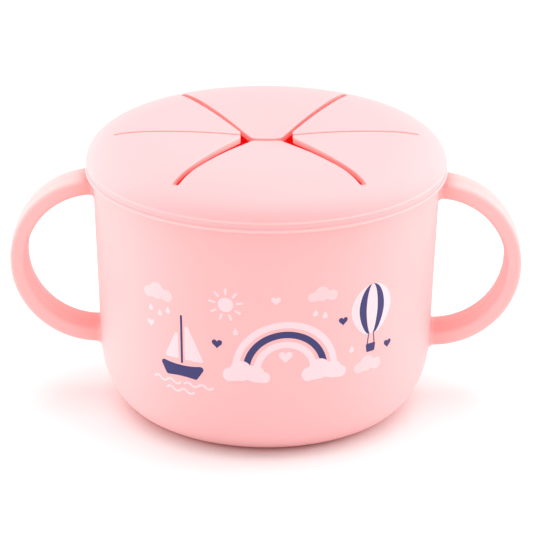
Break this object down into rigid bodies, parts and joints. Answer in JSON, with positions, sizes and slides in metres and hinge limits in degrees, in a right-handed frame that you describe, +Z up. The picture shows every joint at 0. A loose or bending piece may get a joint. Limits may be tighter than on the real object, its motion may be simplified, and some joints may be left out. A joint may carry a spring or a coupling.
{
  "type": "toddler snack container",
  "caption": "Soft two-handled cup for small children with a press-on domed lid, slit into flaps that let a hand in and keep snacks from spilling.",
  "frame": {"origin": "middle of the base, on the surface that the cup stands on", "axes": "+Z up, X through the two handles, -Y towards the front of the picture"},
  "size_m": [0.1282, 0.09, 0.0712],
  "materials": {
    "cup_silicone": "matte moulded silicone, pale pink",
    "lid_silicone": "matte moulded silicone, pale pink"
  },
  "bodies": {
    "cup": {"cup_body": "cup_silicone", "left_handle": "cup_silicone", "right_handle": "cup_silicone"},
    "lid": {"lid_rim": "lid_silicone"},
    "back_flap": {"back_flap": "lid_silicone"},
    "front_flap": {"front_flap": "lid_silicone"},
    "right_back_flap": {"right_back_flap": "lid_silicone"},
    "left_back_flap": {"left_back_flap": "lid_silicone"},
    "left_front_flap": {"left_front_flap": "lid_silicone"},
    "right_front_flap": {"right_front_flap": "lid_silicone"}
  },
  "joints": [
    {"name": "lid_pull_off", "type": "slide", "parent": "cup", "child": "lid", "axis": [0, 0, 1], "range_m": [0, 0.06]},
    {"name": "back_flap_bend", "type": "hinge", "parent": "lid", "child": "back_flap", "pos_m": [-0.00094, 0.02696, 0.07021], "axis": [0.9994, 0.0349, 0], "range_deg": [-30, 60], "stiffness_Nm_per_rad": 0.008},
    {"name": "front_flap_bend", "type": "hinge", "parent": "lid", "child": "front_flap", "pos_m": [0.00094, -0.02696, 0.07021], "axis": [-0.9994, -0.0349, 0], "range_deg": [-30, 60], "stiffness_Nm_per_rad": 0.008},
    {"name": "right_back_flap_bend", "type": "hinge", "parent": "lid", "child": "right_back_flap", "pos_m": [0.02552, 0.01439, 0.07019], "axis": [0.4911, -0.8711, 0], "range_deg": [-30, 60], "stiffness_Nm_per_rad": 0.008},
    {"name": "left_back_flap_bend", "type": "hinge", "parent": "lid", "child": "left_back_flap", "pos_m": [-0.02646, 0.01257, 0.07019], "axis": [0.4292, 0.9032, 0], "range_deg": [-30, 60], "stiffness_Nm_per_rad": 0.008},
    {"name": "left_front_flap_bend", "type": "hinge", "parent": "lid", "child": "left_front_flap", "pos_m": [-0.02552, -0.01439, 0.07019], "axis": [-0.4911, 0.8711, 0], "range_deg": [-30, 60], "stiffness_Nm_per_rad": 0.008},
    {"name": "right_front_flap_bend", "type": "hinge", "parent": "lid", "child": "right_front_flap", "pos_m": [0.02646, -0.01257, 0.07019], "axis": [-0.4292, -0.9032, 0], "range_deg": [-30, 60], "stiffness_Nm_per_rad": 0.008}
  ]
}
